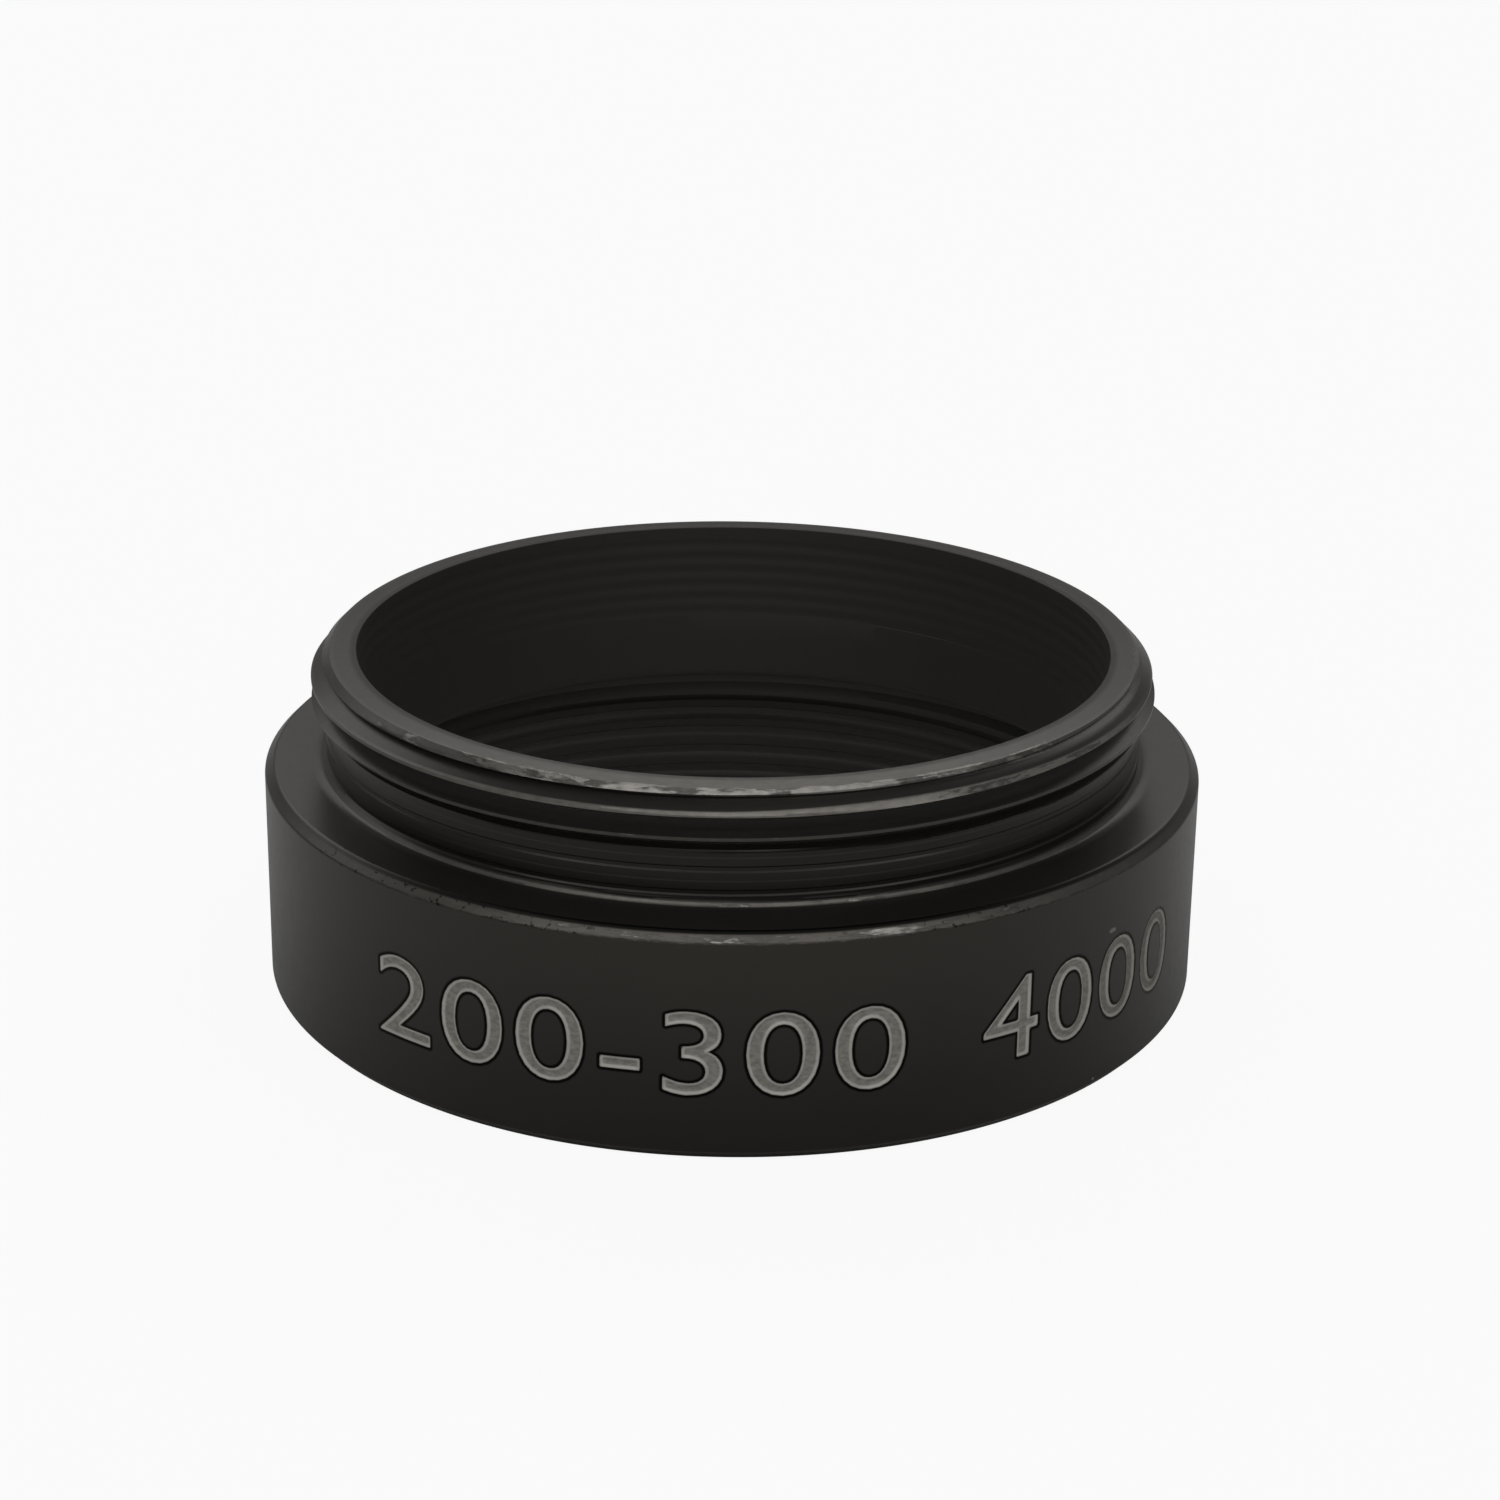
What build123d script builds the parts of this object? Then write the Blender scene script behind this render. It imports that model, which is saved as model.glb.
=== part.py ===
"""Lens tube: a turned extension ring, with a male thread on top and a matching female thread below.

Units are millimetres. The optical axis is Z, the ring stands on its female end at Z = 0 and its
centre line passes through the origin. It is turned from one bar, so it is one revolved section.
Each thread is a plain land at the diameter that a mating part meets, without its fine helix.
"""
import os
from math import acos, degrees, sqrt

from build123d import *

# --- Thread, the same at both ends -----------------------------------------------------------
thread_major_diameter = 26.0
threads_per_inch = 36
root_factor = 1.2269   # male root below the major diameter, in pitches
minor_factor = 1.0825  # female minor below the major diameter, in pitches

# --- Body, between the shoulder and the seat face ----------------------------------------------
body_height = 7.0
shoulder_width = 1.5
shoulder_chamfer = 0.3
shoulder_nose_radius = 0.8  # of the facing tool, left where the shoulder meets the collar
base_chamfer = 0.3

# --- Male end: collar, run-out relief, threaded land and lead-in ---------------------------------
male_length = 3.5
lead_in = 0.65
relief_top_height = 1.65
relief_above_root = 0.03
relief_nose_radius = 0.2
collar_step = 0.15
collar_land = 0.06

# --- Clear bore through the male end -------------------------------------------------------------
male_wall = 0.97
mouth_break = 0.05
stop_break = 0.15

# --- Female end: threaded bore with an undercut behind it ----------------------------------------
female_thread_depth = 4.4
female_lead_in = 0.45
undercut_length = 0.7
undercut_clearance = 0.1
undercut_nose_radius = 0.2

# --- Sizes that follow -----------------------------------------------------------------------------
thread_pitch = 25.4 / threads_per_inch
crest_radius = thread_major_diameter / 2
root_radius = crest_radius - root_factor * thread_pitch / 2
minor_radius = crest_radius - minor_factor * thread_pitch / 2
body_radius = crest_radius + shoulder_width
bore_radius = root_radius - male_wall
relief_radius = root_radius + relief_above_root
collar_radius = relief_radius + collar_step
undercut_radius = crest_radius + undercut_clearance

# The cove rises by collar_land, so the shoulder's flat starts outside the thread's crest.
shoulder_flat_radius = collar_radius + sqrt(2 * shoulder_nose_radius * collar_land - collar_land**2)
shoulder_cove_angle = degrees(acos(1 - collar_land / shoulder_nose_radius))

top = body_height + male_length
relief_top = body_height + relief_top_height
land_start = relief_top + crest_radius - relief_radius
undercut_top = female_thread_depth + undercut_length

# --- Ring --------------------------------------------------------------------------------------------
with BuildPart() as lens_tube:
    with BuildSketch(Plane.XZ):
        with BuildLine():
            # Seat face, body wall and shoulder, with an edge break at each end of the wall.
            body_wall = Polyline(
                (minor_radius + female_lead_in, 0),
                (body_radius - base_chamfer, 0),
                (body_radius, base_chamfer),
                (body_radius, body_height - shoulder_chamfer),
                (body_radius - shoulder_chamfer, body_height),
                (shoulder_flat_radius, body_height),
            )
            # Cove at the foot of the collar, as shallow as the facing tool's nose leaves it.
            shoulder_cove = JernArc(
                body_wall @ 1, (-1, 0), shoulder_nose_radius, -shoulder_cove_angle
            )
            # Relief behind the male thread: both its ends slope at 45 degrees, as the tool leaves them.
            relief = FilletPolyline(
                shoulder_cove @ 1,
                (relief_radius, body_height + collar_land + collar_step),
                (relief_radius, relief_top),
                (crest_radius, land_start),
                radius=relief_nose_radius,
            )
            # Threaded land, its lead-in, the top face and the clear bore down to the stop.
            male_end = Polyline(
                relief @ 1,
                (crest_radius, top - lead_in),
                (crest_radius - lead_in, top),
                (bore_radius + mouth_break, top),
                (bore_radius, top - mouth_break),
                (bore_radius, undercut_top + stop_break),
                (bore_radius + stop_break, undercut_top),
            )
            # Undercut behind the female thread, with the cutter's nose radius in both corners.
            undercut = FilletPolyline(
                male_end @ 1,
                (undercut_radius, undercut_top),
                (undercut_radius, female_thread_depth),
                (minor_radius, female_thread_depth),
                radius=undercut_nose_radius,
            )
            # Female minor bore and its lead-in, back to the seat face.
            Polyline(
                undercut @ 1,
                (minor_radius, female_lead_in),
                body_wall @ 0,
            )
        make_face()
    revolve(axis=Axis.Z)

lens_tube.part.label = "lens_tube"

os.makedirs("parts", exist_ok=True)
export_step(lens_tube.part, "parts/lens_tube.step")

print(f"body {2 * body_radius:.2f} across, {top:.2f} tall, clear bore {2 * bore_radius:.2f}")
print(f"shoulder flat from {2 * shoulder_flat_radius:.2f} to {2 * (body_radius - shoulder_chamfer):.2f}")
print(f"male land {2 * crest_radius:.2f}, root {2 * root_radius:.2f}, pitch {thread_pitch:.4f}")
print(f"female minor {2 * minor_radius:.2f}, undercut {2 * undercut_radius:.2f}")
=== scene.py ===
# %% [markdown]
# # A black anodised lens tube
# A lens tube is a short ring that screws between a lens and a camera. One end has a thread on the
# outside and the other has the same thread on the inside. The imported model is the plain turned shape.
# This lesson adds what a maker's drawing leaves out: the threads themselves, the fine ridges that stop
# stray light in the bore, the numbers cut into the wall, and the worn black finish.

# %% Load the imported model
import math

import bmesh
import bpy
from mathutils import Matrix, Vector


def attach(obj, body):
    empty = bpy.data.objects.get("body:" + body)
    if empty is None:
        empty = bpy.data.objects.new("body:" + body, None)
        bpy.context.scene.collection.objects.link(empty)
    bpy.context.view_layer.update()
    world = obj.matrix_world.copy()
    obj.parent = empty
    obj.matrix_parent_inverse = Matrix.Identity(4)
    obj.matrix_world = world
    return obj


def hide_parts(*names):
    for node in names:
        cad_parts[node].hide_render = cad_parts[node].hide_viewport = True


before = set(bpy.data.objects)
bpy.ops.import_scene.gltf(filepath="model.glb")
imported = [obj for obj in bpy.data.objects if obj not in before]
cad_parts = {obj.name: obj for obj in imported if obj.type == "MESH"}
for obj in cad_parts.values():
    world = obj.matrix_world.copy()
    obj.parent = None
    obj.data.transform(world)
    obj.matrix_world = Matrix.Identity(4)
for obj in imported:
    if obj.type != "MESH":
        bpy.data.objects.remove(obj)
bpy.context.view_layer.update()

MM = 0.001

# %% [markdown]
# ## Sizes
# Every surface below meets its neighbour on a circle, so the radii and heights of those circles are
# written once. They are millimetres, and they follow the turned shape. The number of columns round the
# ring is shared too: two surfaces only close up if their points fall in the same places.

# %% Sizes of the ring, in millimetres
COLUMNS = 360
THREAD_PITCH = 25.4 / 36
CREST_HEIGHT = 9.18                            # of the second crest, straight in front
WALL_RADIUS, WALL_FOOT, WALL_HEAD = 14.5, 0.3, 6.7
WALL_LOW, WALL_HIGH = 0.6, 6.4                 # where the numbered wall meets the foot and the shoulder
FACE_RADIUS = 14.2                             # outer edge of the seat face and of the shoulder
SHOULDER, COLLAR_RADIUS, COLLAR_HEIGHT = 7.0, 12.747, 7.06
COVE_START, COVE_RADIUS = 13.051, 0.8          # of the hollow between the shoulder and the collar
TOP, RIM_OUTER_HEIGHT, RIM_OUTER_RADIUS, BORE_RADIUS = 10.5, 10.46, 12.42, 11.597
RIDGE_LOW, RIDGE_HIGH, RIDGE_PITCH = 7.35, 10.22, 0.48
UNDERCUT_RADIUS, UNDERCUT_LOW, UNDERCUT_HIGH = 13.1, 4.4, 5.1
SEAT_RADIUS = 13.068                           # inner edge of the seat face
NUMBER_DEPTH, NUMBER_SLOPE = 0.06, 0.1         # depth of a stroke, and width of its sloping side
JOIN_DISTANCE = 5e-7                           # in metres: nearer points become one
SHARP_ANGLE = 28                               # degrees: a sharper edge isn't shaded smooth
print("columns:", COLUMNS, "each", round(2 * math.pi * WALL_RADIUS / COLUMNS, 3), "mm of wall")

# %% [markdown]
# ## Node arithmetic that reads like arithmetic
# Thread shapes and wear masks are both formulas. Wiring a formula by hand takes dozens of Math nodes and
# hides what it says. So one small class wraps an output socket and lets Python's own signs add the Math
# nodes. It works in geometry trees and in materials, because both use the same Math node.

# %% A value that flows through a node tree
class Value:
    def __init__(self, tree, socket):
        self.tree, self.socket = tree, socket

    def math(self, operation, *others):
        return self.tree.math(operation, self, *others)

    def __add__(self, other): return self.math("ADD", other)
    def __radd__(self, other): return self.math("ADD", other)
    def __sub__(self, other): return self.math("SUBTRACT", other)
    def __rsub__(self, other): return self.tree.math("SUBTRACT", other, self)
    def __mul__(self, other): return self.math("MULTIPLY", other)
    def __rmul__(self, other): return self.math("MULTIPLY", other)
    def __truediv__(self, other): return self.math("DIVIDE", other)
    def __rtruediv__(self, other): return self.tree.math("DIVIDE", other, self)
    def __neg__(self): return self.math("MULTIPLY", -1)
    def __pow__(self, other): return self.math("POWER", other)
    def __abs__(self): return self.math("ABSOLUTE")

    def least(self, other): return self.math("MINIMUM", other)
    def most(self, other): return self.math("MAXIMUM", other)
    def rounded(self): return self.math("ROUND")
    def root(self): return self.math("SQRT")

    def ramp(self, start, end):
        """0 at start, 1 at end, and an even S-shaped rise between them."""
        settings = {"interpolation_type": "SMOOTHSTEP"}
        node = self.tree.add("ShaderNodeMapRange", settings, {0: self, 1: start, 2: end, 3: 0, 4: 1})
        return Value(self.tree, node.outputs[0])

# %% One method that adds any node
class Tree:
    def __init__(self, nodes_and_links):
        self.data = nodes_and_links
        self.data.nodes.clear()

    def add(self, kind, settings=None, inputs=None):
        """Settings come first, because they can change which sockets a node has."""
        node = self.data.nodes.new(kind)
        for name, setting in (settings or {}).items():
            setattr(node, name, setting)
        for name, value in (inputs or {}).items():
            value = getattr(value, "socket", value)
            if isinstance(value, bpy.types.NodeSocket):
                self.data.links.new(value, node.inputs[name])
            else:
                node.inputs[name].default_value = value
        return node

    def math(self, operation, *values):
        node = self.add("ShaderNodeMath", {"operation": operation}, dict(enumerate(values)))
        return Value(self, node.outputs[0])

    def vector(self, x, y, z):
        node = self.add("ShaderNodeCombineXYZ", None, {"X": x, "Y": y, "Z": z})
        return node.outputs[0]

    def parts_of(self, vector):
        node = self.add("ShaderNodeSeparateXYZ", None, {0: vector})
        return [Value(self, output) for output in node.outputs]

print("node arithmetic is ready")

# %% [markdown]
# ## A tree that winds a thread
# A thread could be a helix curve with a profile swept along it, but the sweep has loose ends that never
# close against the rest of the ring. Here the thread is a grid wrapped round the axis. Each row climbs by
# one pitch in a turn, so the rows run along the crest and the groove, and after one turn row 1 lands on
# row 1 of the next tooth. The radius of a point then follows from how far it is from the nearest crest.
# The same tree winds the outer thread, the inner thread and the ridges in the bore.

# %% Name the sizes that the winding tree asks for
WINDER_SIZES = {
    "Columns": 360, "Rows per pitch": 14, "Pitch": 0.0007, "Crest height": 0.0, "Crest radius": 0.013,
    "Tooth depth": 0.0005, "Crest flat": 0.0001, "Flank slope": math.sqrt(3), "Side": 1.0,
    "Low": 0.0, "Low radius": 0.013, "Low slope": 0.0, "Low adds metal": 0.0,
    "High": 0.01, "High radius": 0.013, "High slope": 0.0, "High adds metal": 0.0,
    "Relief radius": 0.0, "Relief top": 0.0, "Relief groove": 0.001, "Edge round": 0.0,
}

def group_with_sizes(name, sizes, materials=("Material",), objects=()):
    group = bpy.data.node_groups.new(name, "GeometryNodeTree")
    group.interface.new_socket("Geometry", in_out="INPUT", socket_type="NodeSocketGeometry")
    for label, value in sizes.items():
        kind = "NodeSocketInt" if isinstance(value, int) else "NodeSocketFloat"
        group.interface.new_socket(label, in_out="INPUT", socket_type=kind).default_value = value
    for label in objects:
        group.interface.new_socket(label, in_out="INPUT", socket_type="NodeSocketObject")
    for label in materials:
        group.interface.new_socket(label, in_out="INPUT", socket_type="NodeSocketMaterial")
    group.interface.new_socket("Geometry", in_out="OUTPUT", socket_type="NodeSocketGeometry")
    return group

print("the winding tree has", len(WINDER_SIZES), "named sizes")

# %% Build the winding tree
def build_winder():
    tree = Tree(group_with_sizes("winder", WINDER_SIZES))
    given = tree.add("NodeGroupInput")
    size = {name: Value(tree, given.outputs[name]) for name in WINDER_SIZES}
    pitch, low, high, side = size["Pitch"], size["Low"], size["High"], size["Side"]

    # Whole pitches below and above the crest that stands at the front, with one to spare at each end.
    below = ((size["Crest height"] - low) / pitch).math("CEIL") + 1
    rows = (((high - low) / pitch).math("CEIL") + 3) * size["Rows per pitch"]
    grid = tree.add("GeometryNodeMeshGrid", None, {
        "Size X": 1, "Size Y": 1, "Vertices X": size["Columns"] + 1, "Vertices Y": rows + 1})
    along, up, _ = tree.parts_of(tree.add("GeometryNodeInputPosition").outputs[0])
    row = ((up + 0.5) * rows).rounded()

    # A row's height climbs by one pitch in a turn, and stops at the ends of the surface.
    wound = size["Crest height"] + pitch * (row / size["Rows per pitch"] - below + along)
    height = wound.most(low).least(high)

    # How far the point is from the nearest crest gives how deep it lies.
    turns = (height - size["Crest height"]) / pitch - along
    from_crest = pitch * abs(turns - turns.rounded())
    drop = (from_crest - size["Crest flat"] / 2) * size["Flank slope"]
    drop = drop.math("SMOOTH_MAX", 0, size["Edge round"]).least(size["Tooth depth"])
    metal = side * size["Crest radius"] - drop

    # What turns the ends: a relief, and a cone at each end that cuts metal away or leaves it on.
    above = (height - size["Relief top"]).most(0)
    land = side * size["Relief radius"] + (1 - side)
    metal = metal.least(land + above).most(land - size["Relief groove"] - (1 - side) * 2 - above * 4)
    for end, level in (("High", high), ("Low", low)):
        cone = side * (size[end + " radius"] + size[end + " slope"] * (height - level))
        cut, left = metal.math("SMOOTH_MIN", cone, size["Edge round"]), metal.most(cone)
        metal = cut + (left - cut) * size[end + " adds metal"]
    radius = side * metal

    angle = along * (2 * math.pi)
    place = tree.vector(radius * angle.math("SINE"), -(radius * angle.math("COSINE")), height)
    wrapped = tree.add("GeometryNodeSetPosition", None, {
        "Geometry": grid.outputs["Mesh"], "Position": place})
    closed = tree.add("GeometryNodeMergeByDistance", None, {
        "Geometry": wrapped.outputs[0], "Distance": JOIN_DISTANCE})
    real = tree.add("GeometryNodeRealizeInstances", None, {"Geometry": closed.outputs[0]})
    dressed = tree.add("GeometryNodeSetMaterial", None, {
        "Geometry": real.outputs[0], "Material": given.outputs["Material"]})
    tree.add("NodeGroupOutput", None, {"Geometry": dressed.outputs[0]})
    return tree.data

winder = build_winder()
print("winding tree:", len(winder.nodes), "nodes")

# %% [markdown]
# A modifier's inputs are set by the socket's identifier before the object is first evaluated. The result
# is then copied to a plain mesh, so that nothing downstream depends on a live modifier.

# %% Run a tree and keep a plain mesh
def run_tree(name, group, values, start=None):
    holder = bpy.data.objects.new(name, start or bpy.data.meshes.new(name))
    bpy.context.scene.collection.objects.link(holder)
    modifier = holder.modifiers.new(group.name, "NODES")
    modifier.node_group = group
    for item in group.interface.items_tree:
        if item.item_type == "SOCKET" and item.in_out == "INPUT" and item.name in values:
            modifier[item.identifier] = values[item.name]
    seen = holder.evaluated_get(bpy.context.evaluated_depsgraph_get())
    mesh = bpy.data.meshes.new_from_object(seen)
    bpy.data.objects.remove(holder)
    print(f"{name}: {len(mesh.vertices)} points, {len(mesh.polygons)} faces")
    return mesh

black_anodised = bpy.data.materials.new("black_anodised")

def wind(name, **sizes):
    """Sizes in millimetres, except whole numbers, slopes, Side and the two switches."""
    plain = ("Flank slope", "Side", "Low slope", "High slope", "Low adds metal", "High adds metal")
    values = {"Columns": COLUMNS, "Material": black_anodised}
    for key, value in sizes.items():
        label = key.replace("_", " ")
        values[label] = value if isinstance(value, int) else float(value) * (1 if label in plain else MM)
    return run_tree(name, winder, values)

# %% [markdown]
# ## The outer thread
# Thirty-six turns to the inch, with steep flanks and a narrow flat on the crest. The lead-in cone at the
# top cuts the first crest down, so it shows as a bright ring under the rim. Behind the thread a relief is
# turned down almost to the roots, which leaves only fine grooves, and a small collar stands at its foot.
# Seven rows on each side of a crest put a row exactly on both edges of the flat and in the root.

# %% Wind the outer thread
outer_thread = wind(
    "outer_thread", Rows_per_pitch=14, Pitch=THREAD_PITCH, Crest_height=CREST_HEIGHT,
    Crest_radius=13.0, Tooth_depth=0.55, Crest_flat=THREAD_PITCH / 7, Flank_slope=1.93, Side=1.0,
    Low=COLLAR_HEIGHT, Low_radius=COLLAR_RADIUS, Low_slope=-1.0, Low_adds_metal=1.0,
    High=RIM_OUTER_HEIGHT, High_radius=RIM_OUTER_RADIUS, High_slope=-1.0, High_adds_metal=0.0,
    Relief_radius=12.597, Relief_top=8.65, Relief_groove=0.04, Edge_round=0.02)

# %% [markdown]
# ## The inner thread
# The female thread is the same pitch with its teeth pointing inwards. Side is -1 there, so the same
# formula measures metal the other way. Its lead-in cone opens to the seat face, and its other end runs
# out into the undercut. It lies deep in shade, so its teeth are drawn shallower and softer than real
# ones, and it has fewer rows.

# %% Wind the inner thread
inner_thread = wind(
    "inner_thread", Edge_round=0.06, Rows_per_pitch=6, Pitch=THREAD_PITCH, Crest_height=2.0,
    Crest_radius=12.618, Tooth_depth=0.24, Crest_flat=THREAD_PITCH / 3, Side=-1.0,
    Low=0.0, Low_radius=SEAT_RADIUS, Low_slope=-1.0, Low_adds_metal=0.0,
    High=UNDERCUT_LOW, High_radius=UNDERCUT_RADIUS, High_slope=1.0, High_adds_metal=0.0)

# %% [markdown]
# ## Ridges against stray light
# A smooth black bore would shine at a low angle and wash out the picture. So the upper half of the bore is
# cut with fine ridges. They could be a bump in the material, but they catch the light along their edges
# and show at the rim, so they are real. Both of their ends fade out to the plain bore.

# %% Wind the ridges
light_ridges = wind(
    "light_ridges", Rows_per_pitch=6, Pitch=RIDGE_PITCH, Crest_height=9.9,
    Crest_radius=BORE_RADIUS, Tooth_depth=0.02, Crest_flat=RIDGE_PITCH / 3, Flank_slope=0.3, Side=-1.0,
    Low=RIDGE_LOW, Low_radius=BORE_RADIUS, Low_slope=1.0, Low_adds_metal=1.0,
    High=RIDGE_HIGH, High_radius=BORE_RADIUS, High_slope=-1.0, High_adds_metal=1.0)

# %% [markdown]
# ## Plain turned surfaces
# The rest is what a lathe makes when its tool follows a line: rings of points at a list of radii and
# heights. A real edge is never perfectly sharp, and its tiny round is what glints. So each corner of the
# list is replaced by a short arc before it is turned.

# %% Round the corners of a section, then turn it
def rounded_corners(section, radius, steps=3):
    points = [section[0]]
    for before, corner, after in zip(section, section[1:], section[2:]):
        before, corner, after = Vector(before), Vector(corner), Vector(after)
        back, ahead = before - corner, after - corner
        reach = min(radius, back.length * 0.45, ahead.length * 0.45)
        start, end = corner + back.normalized() * reach, corner + ahead.normalized() * reach
        points.append(tuple(corner + back.normalized() * reach * 1.1))
        for step in range(steps + 1):
            t = step / steps
            points.append(tuple((1 - t) ** 2 * start + 2 * t * (1 - t) * corner + t * t * end))
        points.append(tuple(corner + ahead.normalized() * reach * 1.1))
    return points + [section[-1]]

def at(angle, radius, height):
    """A point of the ring. Angle 0 is the front, and it grows to the right."""
    return (radius * math.sin(angle) * MM, -radius * math.cos(angle) * MM, height * MM)

def turned(name, section):
    angles = [2 * math.pi * column / COLUMNS - math.pi for column in range(COLUMNS)]
    points = [at(angle, radius, height) for radius, height in section for angle in angles]
    faces = []
    for ring in range(len(section) - 1):
        for column in range(COLUMNS):
            right = (column + 1) % COLUMNS
            low, high = ring * COLUMNS, (ring + 1) * COLUMNS
            faces.append((low + column, low + right, high + right, high + column))
    mesh = bpy.data.meshes.new(name)
    mesh.from_pydata(points, [], faces)
    print(f"{name}: {len(section)} rings, {len(faces)} faces")
    return mesh

# %% Turn the foot, the shoulder, the mouth and the undercut
foot = turned("foot", rounded_corners(
    [(SEAT_RADIUS, 0), (FACE_RADIUS, 0), (WALL_RADIUS, WALL_FOOT), (WALL_RADIUS, WALL_LOW)], 0.04))

cove, cove_steps = [], 4
for step in range(cove_steps + 1):
    turn = math.acos(1 - (COLLAR_HEIGHT - SHOULDER) / COVE_RADIUS) * step / cove_steps
    cove.append((COVE_START - COVE_RADIUS * math.sin(turn), SHOULDER + COVE_RADIUS * (1 - math.cos(turn))))
cove[-1] = (COLLAR_RADIUS, COLLAR_HEIGHT)
head = [(WALL_RADIUS, WALL_HIGH), (WALL_RADIUS, WALL_HEAD), (FACE_RADIUS, SHOULDER), cove[0]]
shoulder = turned("shoulder", rounded_corners(head, 0.05) + cove[1:])

mouth = turned("mouth", rounded_corners(
    [(RIM_OUTER_RADIUS, RIM_OUTER_HEIGHT), (BORE_RADIUS, TOP), (BORE_RADIUS, RIDGE_HIGH)], 0.03))

undercut = turned("undercut", [(BORE_RADIUS, RIDGE_LOW), (BORE_RADIUS, 6.6)] + rounded_corners(
    [(BORE_RADIUS, 6.0), (BORE_RADIUS, 5.25), (BORE_RADIUS + 0.15, UNDERCUT_HIGH),
     (UNDERCUT_RADIUS, UNDERCUT_HIGH), (UNDERCUT_RADIUS, UNDERCUT_LOW)], 0.2))

# %% [markdown]
# ## The wall and its numbers
# The numbers are cut a few hundredths of a millimetre deep into the outer wall. A boolean would leave
# ragged slivers on a curved wall. Instead the wall has a patch of fine squares where the numbers are, and
# each of its points is pushed in by a depth that depends on how far it lies from the edge of a stroke.
# The patch sits in a frame of larger faces, which share all of its border points, so nothing is open.

# %% Make the wall with a fine patch
PATCH_LEFT, PATCH_RIGHT, PATCH_STEPS = -46, 67, 4
PATCH_LOW, PATCH_HIGH, PATCH_ROWS = 1.86, 4.86, 44

def make_wall():
    points, index = [], {}

    def point(quarter, height):
        """Quarter counts quarter degrees, so that shared points are found again exactly."""
        key = (quarter, round(height, 4))
        if key not in index:
            index[key] = len(points)
            points.append(at(math.radians(quarter / PATCH_STEPS), WALL_RADIUS, height))
        return index[key]

    faces = []
    frame_width = 0.07
    levels = [WALL_LOW, PATCH_LOW - frame_width, PATCH_LOW, PATCH_HIGH, PATCH_HIGH + frame_width, WALL_HIGH]
    rows = [PATCH_LOW + (PATCH_HIGH - PATCH_LOW) * row / PATCH_ROWS for row in range(PATCH_ROWS + 1)]
    for degree in range(-180, 180):
        left, right = degree * PATCH_STEPS, (degree + 1) * PATCH_STEPS
        wrap = -180 * PATCH_STEPS if right == 180 * PATCH_STEPS else right
        inside = PATCH_LEFT <= degree < PATCH_RIGHT
        fine = list(range(left, right + 1)) if inside else [left, wrap]
        for low, high in zip(levels, levels[1:]):
            if inside and low == PATCH_LOW:
                continue
            if inside and high == PATCH_LOW:
                face = [point(left, low), point(wrap, low)] + [point(q, high) for q in reversed(fine)]
            elif inside and low == PATCH_HIGH:
                face = [point(q, low) for q in fine] + [point(wrap, high), point(left, high)]
            else:
                face = [point(left, low), point(wrap, low)]
                if degree == PATCH_LEFT - 1 and low == PATCH_LOW:
                    face += [point(wrap, height) for height in rows[1:-1]]
                face += [point(wrap, high), point(left, high)]
                if degree == PATCH_RIGHT and low == PATCH_LOW:
                    face += [point(left, height) for height in reversed(rows[1:-1])]
            faces.append(face)
        if inside:
            for low, high in zip(rows, rows[1:]):
                for a, b in zip(fine, fine[1:]):
                    faces.append([point(a, low), point(b, low), point(b, high), point(a, high)])
    mesh = bpy.data.meshes.new("wall")
    mesh.from_pydata(points, [], faces)
    return mesh

plain_wall = make_wall()
print("wall:", len(plain_wall.vertices), "points,", len(plain_wall.polygons), "faces")

# %% [markdown]
# The numbers start as Text, because a font already has good digits. The text stays flat, as if the wall
# were unrolled: across is the distance round the wall and up is the height. Distances are then measured
# in that flat picture, and there is no need to bend the letters.

# %% Write the numbers flat, at their size
def flat_number(text, left, right, low, high):
    data = bpy.data.curves.new("number_" + text, "FONT")
    data.body, data.space_character, data.resolution_u = text, 1.08, 6
    holder = bpy.data.objects.new("number_" + text, data)
    bpy.context.scene.collection.objects.link(holder)
    seen = holder.evaluated_get(bpy.context.evaluated_depsgraph_get())
    mesh = bpy.data.meshes.new_from_object(seen)
    bpy.data.objects.remove(holder)
    across = [v.co.x for v in mesh.vertices]
    up = [v.co.y for v in mesh.vertices]
    wide, tall = max(across) - min(across), max(up) - min(up)
    for v in mesh.vertices:
        x = left + (v.co.x - min(across)) * (right - left) / wide
        z = low + (v.co.y - min(up)) * (high - low) / tall
        v.co = (x * MM, 0, z * MM)
    stretch = (right - left) / wide * tall / (high - low)
    print(text, "is", round(stretch, 3), "times as wide as the font's own")
    return mesh

numbers = bmesh.new()
for mesh in (flat_number("200-300", -11.17, 5.03, 2.08, 4.62),
             flat_number("4000", 7.56, 16.17, 2.12, 4.66)):
    numbers.from_mesh(mesh)
    bpy.data.meshes.remove(mesh)
flat_numbers = bpy.data.meshes.new("flat_numbers")
numbers.to_mesh(flat_numbers)
numbers.free()
number_stencil = bpy.data.objects.new("number_stencil", flat_numbers)
bpy.context.scene.collection.objects.link(number_stencil)
print("stencil:", len(flat_numbers.vertices), "points")

# %% [markdown]
# Two distances say where a point is: to the filled strokes, which is zero inside them, and to their
# outline. Together they give a signed distance. It sets the depth of the cut, and it is stored as an
# attribute so that the material can find the bare floor, the bright rim and the dark line round it. It
# is 0.5 on the outline, and it grows by 1 for each millimetre inwards.

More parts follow.
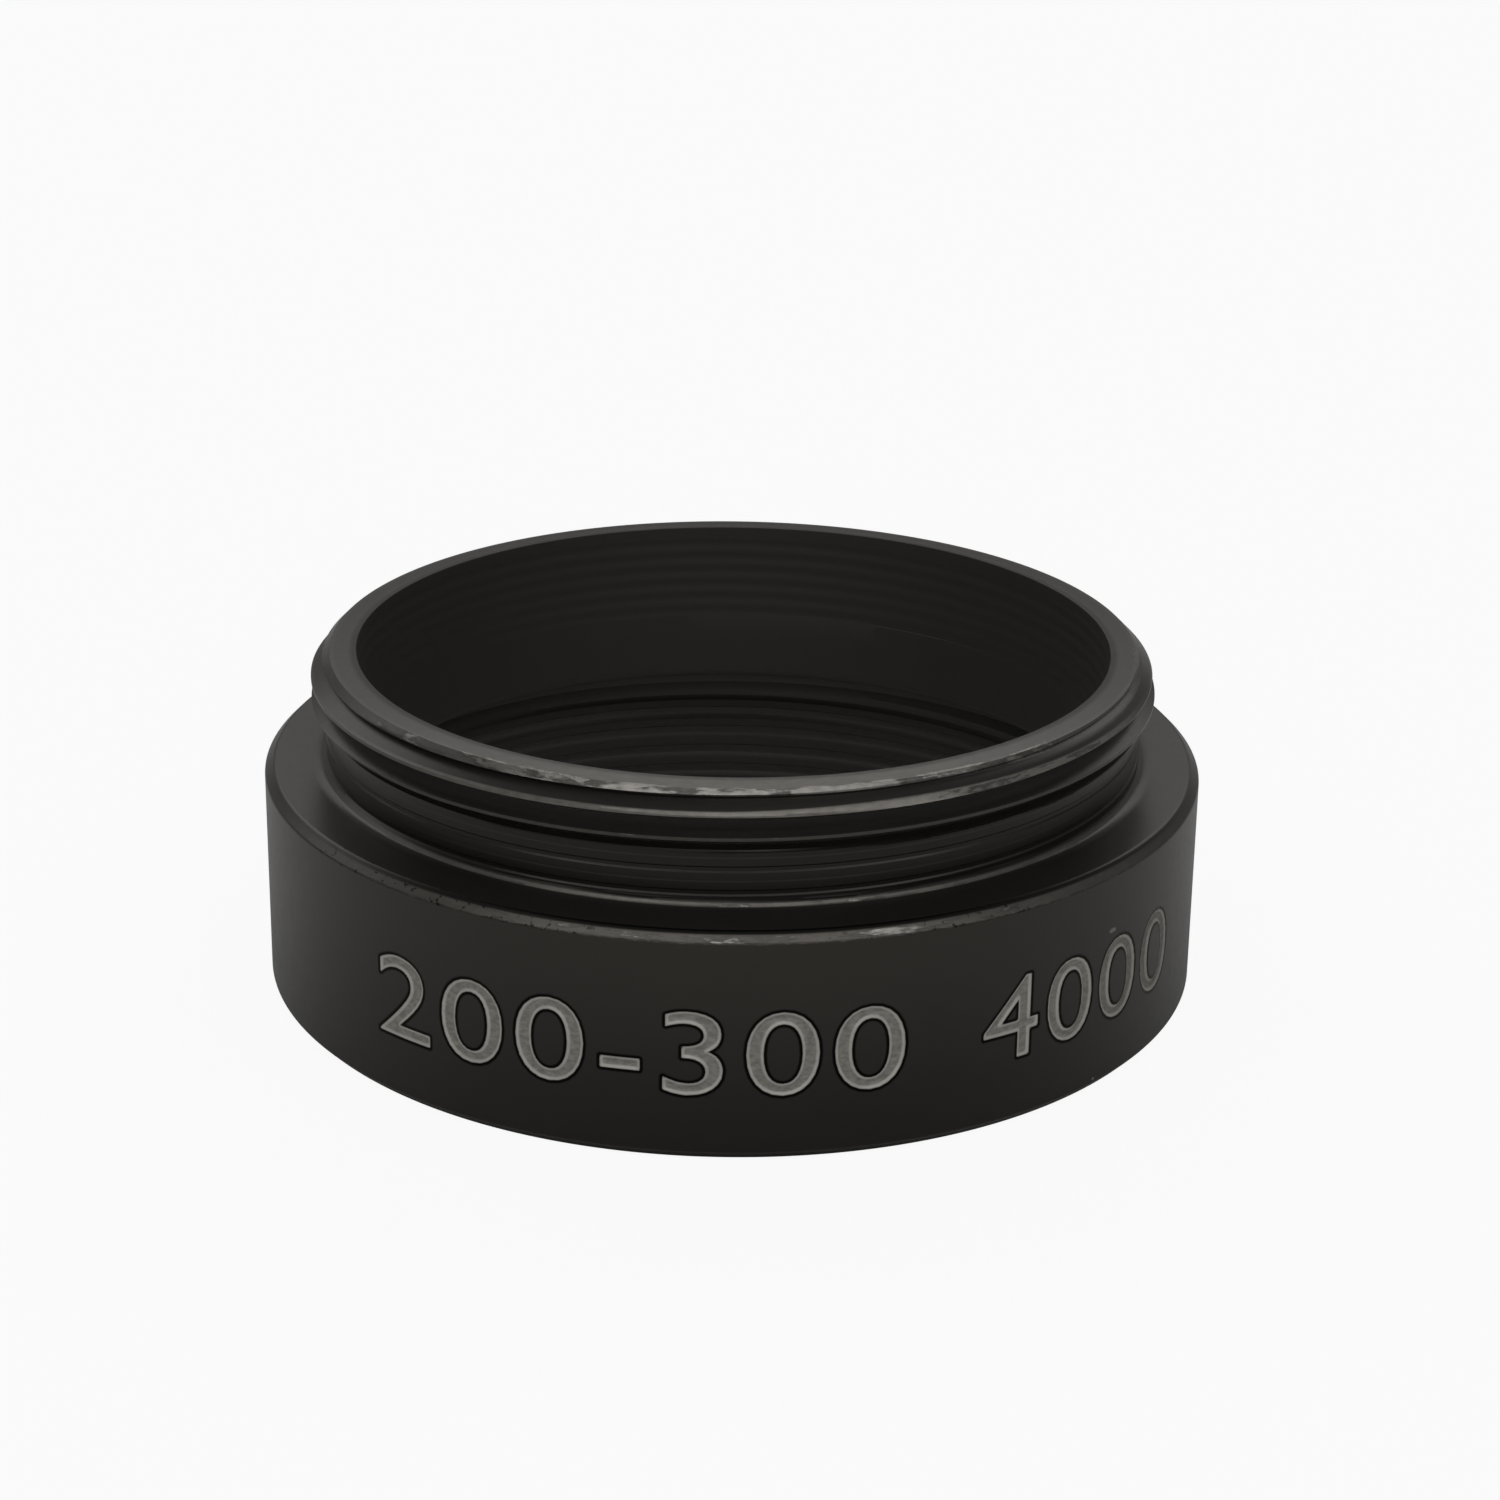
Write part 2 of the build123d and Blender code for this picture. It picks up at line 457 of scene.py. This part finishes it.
# %% Build the engraving tree
def build_engraver():
    sizes = {"Wall radius": WALL_RADIUS * MM, "Depth": NUMBER_DEPTH * MM, "Slope width": NUMBER_SLOPE * MM}
    tree = Tree(group_with_sizes("engraver", sizes, objects=("Stencil",)))
    given = tree.add("NodeGroupInput")
    radius, depth, slope = (Value(tree, given.outputs[name]) for name in sizes)
    stencil = tree.add("GeometryNodeObjectInfo", None, {
        "Object": given.outputs["Stencil"]}).outputs["Geometry"]
    inner = tree.add("FunctionNodeCompare", {"data_type": "INT", "operation": "NOT_EQUAL"}, {
        2: tree.add("GeometryNodeInputMeshEdgeNeighbors").outputs[0], 3: 1})
    outline = tree.add("GeometryNodeDeleteGeometry", {"domain": "EDGE", "mode": "EDGE_FACE"}, {
        "Geometry": stencil, "Selection": inner.outputs[0]}).outputs[0]

    x, y, z = tree.parts_of(tree.add("GeometryNodeInputPosition").outputs[0])
    unrolled = tree.vector(tree.math("ARCTAN2", x, -y) * radius, 0.0, z)
    to_fill = tree.add("GeometryNodeProximity", {"target_element": "FACES"}, {
        "Geometry": stencil, "Sample Position": unrolled})
    to_line = tree.add("GeometryNodeProximity", {"target_element": "EDGES"}, {
        "Geometry": outline, "Sample Position": unrolled})
    inside = Value(tree, to_fill.outputs["Distance"]).math("LESS_THAN", 1e-6)
    signed = Value(tree, to_line.outputs["Distance"]) * (inside * 2 - 1)

    kept = tree.add("GeometryNodeStoreNamedAttribute", {"data_type": "FLOAT", "domain": "POINT"}, {
        "Geometry": given.outputs["Geometry"], "Name": "stroke",
        "Value": ((signed / MM) + 0.5).most(0)})
    shrink = 1 - depth * signed.ramp(-0.00002, slope) / radius
    place = tree.vector(x * shrink, y * shrink, z)
    cut = tree.add("GeometryNodeSetPosition", None, {"Geometry": kept.outputs[0], "Position": place})
    real = tree.add("GeometryNodeRealizeInstances", None, {"Geometry": cut.outputs[0]})
    dressed = tree.add("GeometryNodeSetMaterial", None, {
        "Geometry": real.outputs[0], "Material": given.outputs["Material"]})
    tree.add("NodeGroupOutput", None, {"Geometry": dressed.outputs[0]})
    return tree.data

engraver = build_engraver()
wall = run_tree("engraved_wall", engraver, {
    "Wall radius": WALL_RADIUS * MM, "Depth": NUMBER_DEPTH * MM, "Slope width": NUMBER_SLOPE * MM,
    "Stencil": number_stencil, "Material": black_anodised}, start=plain_wall)
bpy.data.objects.remove(number_stencil)

# %% [markdown]
# ## One closed ring
# The real ring is one piece of metal, so its surfaces become one closed mesh. A short tree joins them and
# merges the points that two surfaces share. Then every edge must have exactly two faces. If one has not,
# two surfaces don't meet, and the print below says so.

# %% Join the surfaces
def build_joiner(surfaces):
    tree = Tree(group_with_sizes("joiner", {}, objects=surfaces))
    given = tree.add("NodeGroupInput")
    joined = tree.add("GeometryNodeJoinGeometry")
    for name in surfaces:
        info = tree.add("GeometryNodeObjectInfo", None, {"Object": given.outputs[name]})
        tree.data.links.new(info.outputs["Geometry"], joined.inputs[0])
    merged = tree.add("GeometryNodeMergeByDistance", None, {
        "Geometry": joined.outputs[0], "Distance": JOIN_DISTANCE})
    real = tree.add("GeometryNodeRealizeInstances", None, {"Geometry": merged.outputs[0]})
    dressed = tree.add("GeometryNodeSetMaterial", None, {
        "Geometry": real.outputs[0], "Material": given.outputs["Material"]})
    tree.add("NodeGroupOutput", None, {"Geometry": dressed.outputs[0]})
    return tree.data

surfaces = {mesh.name: bpy.data.objects.new(mesh.name, mesh) for mesh in (
    foot, wall, shoulder, outer_thread, mouth, light_ridges, undercut, inner_thread)}
for surface in surfaces.values():
    bpy.context.scene.collection.objects.link(surface)
joiner = build_joiner(list(surfaces))
ring_mesh = run_tree("ring", joiner, dict(surfaces, Material=black_anodised))
for surface in surfaces.values():
    bpy.data.objects.remove(surface)

# %% Turn the faces outwards and check that the ring is closed
shell = bmesh.new()
shell.from_mesh(ring_mesh)
bmesh.ops.dissolve_degenerate(shell, dist=1e-8, edges=shell.edges)
bmesh.ops.recalc_face_normals(shell, faces=shell.faces)
open_places = [[round(c / MM, 3) for c in edge.verts[0].co]
               for edge in shell.edges if len(edge.link_faces) != 2]
volume = shell.calc_volume(signed=True) / MM ** 3
triangles = sum(len(face.verts) - 2 for face in shell.faces)
shell.to_mesh(ring_mesh)
shell.free()
ring_mesh.shade_smooth()
ring_mesh.set_sharp_from_angle(angle=math.radians(SHARP_ANGLE))
ring = bpy.data.objects.new("ring", ring_mesh)
bpy.context.scene.collection.objects.link(ring)
print(f"ring: {triangles} triangles, {volume:.0f} cubic mm, edges without two faces: {len(open_places)}")
print("first of those edges at mm:", open_places[:3])

# %% [markdown]
# ## The finish
# Anodising grows a thin oxide skin and dyes it black. It is not a paint: the skin is a hard satin glass
# over the tool marks, so it looks nearly black head on and grey where the light grazes it. On outside
# edges the skin is rubbed thin and chips, and the aluminium shows. The paler bands along the edges at the
# front are partly that wear and partly painted highlights. All of this is one material, whose masks come
# from the radius, the height and the angle of a point, because on a turned part every edge is a circle.
# The numbers in a ramp are where it starts and ends: millimetres for a radius or a height, and radians
# from the front for an angle.

# %% Start the finish: where a point is on the ring
black_anodised.use_nodes = True
finish = Tree(black_anodised.node_tree)
coordinates = finish.add("ShaderNodeTexCoord").outputs["Object"]
in_mm = finish.add("ShaderNodeVectorMath", {"operation": "SCALE"}, {
    0: coordinates, "Scale": 1 / MM}).outputs[0]
across, deep, height = finish.parts_of(in_mm)
radius = (across * across + deep * deep).root()
angle = finish.math("ARCTAN2", across, -deep)

def noise(vector, scale, detail=2.0, roughness=0.5):
    node = finish.add("ShaderNodeTexNoise", {"noise_dimensions": "3D"}, {
        "Vector": vector, "Scale": scale, "Detail": detail, "Roughness": roughness})
    return Value(finish, node.outputs["Fac"])

def near_circle(circle_radius, circle_height, width):
    """1 on an edge of the ring, falling to 0 at a width from it."""
    away = (radius - circle_radius) ** 2 + (height - circle_height) ** 2
    return 1 - (away.root() / width).least(1)

def band(value, rise, fall):
    """0 below the first pair, 1 between the pairs, and 0 above the second pair."""
    return value.ramp(*rise) * (1 - value.ramp(*fall))

female_end = (1 - radius.ramp(13.2, 13.3)) * (1 - height.ramp(5.2, 5.4))
in_bore = 1 - radius.ramp(11.7, 11.9) * (1 - female_end)
print("finish: radius, height and angle are ready")

# %% [markdown]
# Hands and cases rub the rim, the crests and the two edges of the wall. Each such place gets its own mask.
# Their grey is strongest at the front, where it is partly wear and partly a painted highlight of the light
# high in front. A crest climbs by one pitch in a turn, so on_thread takes that climb away from the height,
# and a crest becomes a plain band again. On a 45 degree cone the sum of radius and height is the same all
# over, so slant finds a cone. The black lines beside the wall's edge and at the foot of the relief are
# painted shadows, and the small pits are black as well.

# %% Find the cones, the crests and the black lines
around = angle / (2 * math.pi)
chips = noise(finish.vector(angle * 7, height * 2.6, radius * 2.6), 1.0, 5, 0.66)
grit = noise(finish.vector(angle * 34, height * 6, radius * 6), 1.0, 3, 0.55)
# 1 at the front, falling off round the sides. It puts more wear there, along with the painted highlights
# and painted shadows of the light from in front.
front_wear_and_shading = 1 - abs(angle - 0.05).ramp(0.2, 1.3)
slant = radius + height
on_thread = height - around * THREAD_PITCH

near_rim = height.ramp(10.24, 10.28)
rim_cone = slant.ramp(22.72, 22.80) * near_rim
low_on_cone = slant.ramp(22.62, 22.82) * near_rim
rim_flat = height.ramp(10.44, 10.46) * radius.ramp(11.6, 11.66)

widening = angle.most(0) * 0.16
first_crest = on_thread.ramp(9.82, 9.845) * (1 - (on_thread - widening).ramp(9.965, 9.995))
crest_face = first_crest * radius.ramp(12.78, 12.84)
right_strip = crest_face * band(angle, (0.25, 0.6), (0.95, 1.3))
second_crest = (1 - abs(on_thread - CREST_HEIGHT).ramp(0.04, 0.06)) * radius.ramp(12.9, 12.95)
third_crest = radius.ramp(12.62, 12.65) * band(height, (8.56, 8.6), (8.8, 8.86))

wave = (noise(finish.vector(angle * 26, 0.0, 0.0), 1.0, 4, 0.65) - 0.5) * 0.2
wall_head = radius.ramp(14.16, 14.2) * height.ramp(6.5, 6.55)
head_cone = wall_head * (height + wave).ramp(6.69, 6.71) * (1 - height.ramp(6.87, 6.91))
head_line = wall_head * height.ramp(6.89, 6.93) * front_wear_and_shading
collar_cone = slant.ramp(19.78, 19.80) * (1 - radius.ramp(12.75, 12.77)) * (1 - height.ramp(7.15, 7.19))
foot_of_relief = band(height, (7.13, 7.15), (7.21, 7.24)) * band(radius, (12.58, 12.6), (12.70, 12.72))

pits = noise(finish.vector(angle * 60, radius * 5, height * 5), 1.0, 3, 0.6).ramp(0.59, 0.64)
pits = pits * radius.ramp(14.08, 14.16) * height.ramp(6.64, 6.68)
pits = pits * abs(angle).ramp(0.05, 0.35) * (1 - abs(angle + 0.15).ramp(0.7, 0.9))
black_line = head_line.most(foot_of_relief * front_wear_and_shading * 0.8).most(pits * 0.75)
print("finish: the cones, the crests and the black lines are found")

# %% [markdown]
# Wear comes in two depths. Where the skin is only rubbed thin, it turns grey evenly, and towards the
# front that grey is partly a painted highlight. Chips go through it.
# They are a sum: how close the point is to an edge, plus a noise. Only where the sum passes a limit does
# the metal show, so the chips are ragged and follow the edge, instead of being an even stripe.

# %% Rub the skin thin, then chip it
# Rubbed bands: partly wear, and partly painted highlights that are strongest at the front.
rubbed_and_lit = rim_cone.most(crest_face).most(second_crest * 0.35).most(collar_cone)
rubbed_and_lit = rubbed_and_lit * (0.15 + front_wear_and_shading * 0.85)
rubbed_and_lit = rubbed_and_lit.most(head_cone * front_wear_and_shading * 0.7).most(rim_flat * front_wear_and_shading * 0.7)

feet = near_circle(WALL_RADIUS, WALL_FOOT, 0.1).most(near_circle(FACE_RADIUS, 0, 0.1))
edges = low_on_cone.most(head_cone * 0.78).most(collar_cone * 0.75)
edges = edges.most(crest_face * 0.4 + right_strip * 0.56)
edges = edges.most(second_crest * 0.7).most(third_crest * 0.6).most(feet * 0.7)
worn = (edges * 0.5 + chips * 0.7 + grit * 0.15 + front_wear_and_shading * 0.16 - 0.96).ramp(0.0, 0.12)
print("finish: rubbed skin and chips on the edges")

# %% Add a fine turned line in the relief and two small nicks in the wall
turns_away = (height - 8.47) / THREAD_PITCH - around
hairline = 1 - (abs(turns_away - turns_away.rounded()) * THREAD_PITCH).ramp(0.012, 0.03)
hairline = hairline * band(height, (7.3, 7.5), (8.8, 8.9)) * radius.ramp(12.3, 12.4)

def nick(arc, up, wide, tall):
    """A small oval on the wall, arc millimetres to the right of the front."""
    off = ((angle * WALL_RADIUS - arc) / wide) ** 2 + ((height - up) / tall) ** 2
    return (1 - off.ramp(0.5, 1.0)) * radius.ramp(14.4, 14.45)

# The turned line shows only towards the front, where its paleness is a painted highlight on a real groove.
worn = worn.most(hairline * front_wear_and_shading * 0.12)
worn = worn.most(nick(12.62, 4.98, 0.2, 0.09)).most(nick(12.0, 0.42, 0.07, 0.06))
print("finish: the turned line and the nicks")

# %% [markdown]
# The strokes were cut through the skin, so their floor is bare metal, dull and scratched. The cutter
# leaves a thin burr along the outline, which is drawn as a pale rim: a painted highlight. A dark line lies
# just outside it.

# %% Find the strokes
stroke = Value(finish, finish.add("ShaderNodeAttribute", {"attribute_name": "stroke"}).outputs["Fac"])
floor_of_stroke = stroke.ramp(0.49, 0.55)
# The pale rim along the outline is a painted highlight, brighter than the bare floor.
rim_highlight_of_stroke = stroke.ramp(0.47, 0.51) * (1 - stroke.ramp(0.54, 0.60))
# A dark line just outside each stroke, darker than the skin around it.
dark_outline = stroke.ramp(0.36, 0.43) * (1 - stroke.ramp(0.475, 0.505))
tool_lines = noise(finish.vector(angle * 60, height * 7, radius * 2), 1.0, 4, 0.62)
print("finish: strokes have a floor, a rim and a burnt line")

# %% [markdown]
# The colours. Black dye is never quite even, so a broad noise moves the black between two browns. Values
# are mixed one over the other: first the skin, then the rubbed skin with its painted highlights, the black
# lines and the bare metal of the chips, each chip with a painted shadow line round it. Some of these shades
# aren't the dye's own. The wall is painted darker towards its foot, the relief darker, both threads greyer,
# and the numbers on the right duller. They stand in for soft light and shade that the five lights here
# don't give, so they stay on the ring when the lights move.

# %% Mix the colours of the skin
def mix(factor, under, over):
    """Over replaces under where factor is 1. A plain colour is three numbers."""
    under, over = ((*tone, 1) if isinstance(tone, tuple) else tone for tone in (under, over))
    node = finish.add("ShaderNodeMix", {"data_type": "RGBA"}, {0: factor, 6: under, 7: over})
    return node.outputs[2]

skin = mix(noise(in_mm, 0.25, 2).ramp(0.3, 0.7), (0.0150, 0.0129, 0.0114), (0.0186, 0.0160, 0.0141))
skin = mix(in_bore, skin, (0.030, 0.0285, 0.0275))

outer_wall = radius.ramp(14.3, 14.4)
skin = mix(outer_wall * (1 - height.ramp(-1.0, 7.5)), skin, (0.003, 0.0027, 0.0025))
skin = mix(outer_wall * height.ramp(1.5, 7.0) * 0.6, skin, (0.029, 0.0255, 0.0225))

in_relief = band(height, (7.2, 7.3), (8.6, 8.7)) * band(radius, (12.2, 12.3), (12.62, 12.7))
skin = mix(in_relief * 0.8, skin, (0.004, 0.0036, 0.0033))

inner_grey = band(radius, (12.64, 12.88), (13.2, 13.3)) * band(height, (0.3, 0.6), (5.12, 5.2))
skin = mix(inner_grey, skin, (0.09, 0.087, 0.084))
outer_grey = band(radius, (12.2, 12.3), (12.55, 12.9)) * band(height, (8.84, 8.94), (9.75, 9.85))
skin = mix(outer_grey, skin, (0.065, 0.062, 0.060))
print("finish: skin and its painted shades")

# %% Mix the rubbed skin, the chips and the strokes over it
grey_grit = grit.ramp(0.3, 0.7)
# The grey of the rubbed skin, which is partly a painted highlight.
rubbed_and_lit_tone = mix(grey_grit, (0.24, 0.228, 0.208), (0.32, 0.306, 0.282))
metal_tone = mix(grey_grit, (0.17, 0.163, 0.150), (0.27, 0.26, 0.243))
floor_tone = mix(tool_lines.ramp(0.3, 0.75), (0.25, 0.246, 0.222), (0.40, 0.394, 0.360))
# Colour of the painted highlight on the rim of a stroke.
rim_highlight_tone = mix(grit, (0.55, 0.54, 0.50), (0.80, 0.79, 0.74))

# How much of that grey shows: partly wear, and partly painted highlights on the crests at the front and on
# a strip to the right.
thin_and_lit = rubbed_and_lit * 0.42 + crest_face * front_wear_and_shading * 0.2 + right_strip * 0.36
colour = mix(thin_and_lit, skin, rubbed_and_lit_tone)
colour = mix(black_line, colour, (0.002, 0.002, 0.002))
colour = mix(worn, colour, metal_tone)
# A painted shadow line round each chip, where the broken edge of the skin would shade it.
chip_shadow_line = worn * (1 - worn) * 2.8
colour = mix(chip_shadow_line, colour, (0.02, 0.02, 0.02))
colour = mix(dark_outline * 0.9, colour, (0.001, 0.001, 0.001))

duller = angle.ramp(0.6, 1.15) * 0.5
floor_tone = mix(duller, floor_tone, (0.05, 0.048, 0.043))
rim_highlight_tone = mix(duller, rim_highlight_tone, (0.12, 0.116, 0.105))
colour = mix(floor_of_stroke, colour, floor_tone)
colour = mix(rim_highlight_of_stroke * 0.75, colour, rim_highlight_tone)
print("finish: colours mixed")

# %% [markdown]
# Last the surface itself: a fine satin grain everywhere, faint rings from the lathe, and the small steps
# of the chips. They are bumps far too small to model, but they break up the reflection as real ones do.
# The black lines count as metal too, because a nearly black metal reflects nothing.

# %% Bump, roughness and the shader
lathe_rings = noise(finish.vector(angle * 1.5, height * 30, radius * 30), 1.0, 3, 0.6)
satin_grain = noise(in_mm, 45, 2, 0.5)
relief_map = lathe_rings * 0.35 + satin_grain * 0.35 - worn * 0.6 + floor_of_stroke * tool_lines * 0.8
bump = finish.add("ShaderNodeBump", None, {"Strength": 0.35, "Distance": 0.01 * MM, "Height": relief_map})
rough = 0.28 + in_bore * 0.28 + noise(in_mm, 3, 3) * 0.08 - worn * 0.06 + floor_of_stroke * 0.16
bare = worn.most(floor_of_stroke).most(thin_and_lit)
metallic = (bare * 0.6).most(dark_outline * 0.9).most(black_line * 0.9)
surface = finish.add("ShaderNodeBsdfPrincipled", None, {
    "Base Color": colour, "Metallic": metallic, "Roughness": rough, "IOR": 1.5,
    "Specular IOR Level": 0.48, "Specular Tint": (1.0, 0.93, 0.84, 1), "Normal": bump.outputs[0]})
finish.add("ShaderNodeOutputMaterial", None, {"Surface": surface.outputs[0]})
print("finish:", len(finish.data.nodes), "nodes")

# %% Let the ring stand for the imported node
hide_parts("lens_tube")
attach(ring, "root")

# %% [markdown]
# ## Camera
# The camera looks down at the ring from the front, 24 degrees above the floor. A long lens keeps the
# ellipses of the rims nearly parallel, as in a product picture. Its focal length is first worked out in
# pixels of a square frame, and then turned into millimetres of a 36 mm sensor.

# %% Place the camera
FRAME_PIXELS, FOCAL_PIXELS, SENSOR_WIDTH = 1500, 3510.53, 36
elevation, distance = math.radians(24.286), 112.414 * MM
roll, yaw, pitch_down = math.radians(0.756), math.radians(0.306), math.radians(21.021)
eye = Vector((0, -distance * math.cos(elevation), distance * math.sin(elevation)))
level_ahead = Vector((math.sin(yaw), math.cos(yaw), 0))
ahead = math.cos(pitch_down) * level_ahead - Vector((0, 0, math.sin(pitch_down)))
level = Vector((math.cos(yaw), -math.sin(yaw), 0))
upright = level.cross(ahead)
right = math.cos(roll) * level + math.sin(roll) * upright
upward = -math.sin(roll) * level + math.cos(roll) * upright
camera = bpy.data.objects.new("camera", bpy.data.cameras.new("camera"))
camera.data.sensor_width = SENSOR_WIDTH
camera.data.lens = FOCAL_PIXELS / FRAME_PIXELS * SENSOR_WIDTH
camera.data.clip_start, camera.data.clip_end = 0.005, 10
camera.matrix_world = Matrix.Translation(eye) @ Matrix((right, upward, -ahead)).transposed().to_4x4()
bpy.context.scene.collection.objects.link(camera)
bpy.context.scene.camera = camera
print("lens", round(camera.data.lens, 2), "mm, eye at", [round(c / MM, 1) for c in eye])

# %% [markdown]
# ## Floor and light
# A studio picture on white: a pale floor, a soft light high in front that draws the bright lines on the
# slanted edges, a low one that fills the wall, one behind that outlines the rim, and one at each side.
# The floor and the world are white to the camera alone, by Light Path. Reflections meet the plain paper
# and a dim world instead, because an all-white room turns this black finish grey. The floor also keeps a
# little of its own shading, so the ring still casts its shadow.

# %% Make the floor
def make_floor():
    mesh = bpy.data.meshes.new("floor")
    size = 3.0
    corners = [(-size, -size, 0), (size, -size, 0), (size, size, 0), (-size, size, 0)]
    mesh.from_pydata(corners, [], [(0, 1, 2, 3)])
    material = bpy.data.materials.new("pale_floor")
    material.use_nodes = True
    tree = Tree(material.node_tree)
    seen = Value(tree, tree.add("ShaderNodeLightPath").outputs["Is Camera Ray"])
    paper = tree.add("ShaderNodeBsdfDiffuse", None, {"Color": (0.75, 0.75, 0.745, 1)})
    white = tree.add("ShaderNodeEmission", None, {"Color": (1, 1, 1, 1), "Strength": 1.0})
    blend = tree.add("ShaderNodeMixShader", None, {
        0: seen * 0.93, 1: paper.outputs[0], 2: white.outputs[0]})
    tree.add("ShaderNodeOutputMaterial", None, {"Surface": blend.outputs[0]})
    mesh.materials.append(material)
    return bpy.data.objects.new("floor", mesh)

floor = make_floor()
bpy.context.scene.collection.objects.link(floor)
print("floor laid")

# %% Set the lights
def soft_light(name, azimuth, lift, away, width, tall, strength):
    """Azimuth from the front, growing to the right, and lift above the floor, both in degrees. The
    others are metres, and a strength that is the same for a small light as for a large one."""
    lamp = bpy.data.lights.new(name, "AREA")
    lamp.shape, lamp.size, lamp.size_y = "RECTANGLE", width, tall
    lamp.energy = strength * math.pi * width * tall
    holder = bpy.data.objects.new(name, lamp)
    a, e = math.radians(azimuth), math.radians(lift)
    place = Vector((math.sin(a) * math.cos(e), -math.cos(a) * math.cos(e), math.sin(e))) * away
    holder.location = place
    holder.rotation_euler = (-place).to_track_quat("-Z", "Y").to_euler()
    bpy.context.scene.collection.objects.link(holder)

soft_light("front_top_light", 0, 66, 0.6, 1.1, 0.16, 2.1)
soft_light("front_low_light", 0, 18, 0.9, 1.4, 0.3, 0.8)
soft_light("back_light", 180, 39, 0.7, 1.3, 0.4, 0.93)
soft_light("left_light", -120, 32, 0.7, 0.3, 0.3, 0.75)
soft_light("right_light", 80, 35, 0.7, 0.3, 0.3, 0.2)
print("five soft lights")

# %% Set the world
world = bpy.data.worlds.new("studio")
bpy.context.scene.world = world
world.use_nodes = True
sky = Tree(world.node_tree)
seen = sky.add("ShaderNodeLightPath").outputs["Is Camera Ray"]
dim = sky.add("ShaderNodeBackground", None, {"Color": (1, 1, 1, 1), "Strength": 0.14})
white = sky.add("ShaderNodeBackground", None, {"Color": (1, 1, 1, 1), "Strength": 1.0})
both = sky.add("ShaderNodeMixShader", None, {0: seen, 1: dim.outputs[0], 2: white.outputs[0]})
sky.add("ShaderNodeOutputWorld", None, {"Surface": both.outputs[0]})
bpy.context.scene.view_settings.view_transform = "Standard"
print("world set")
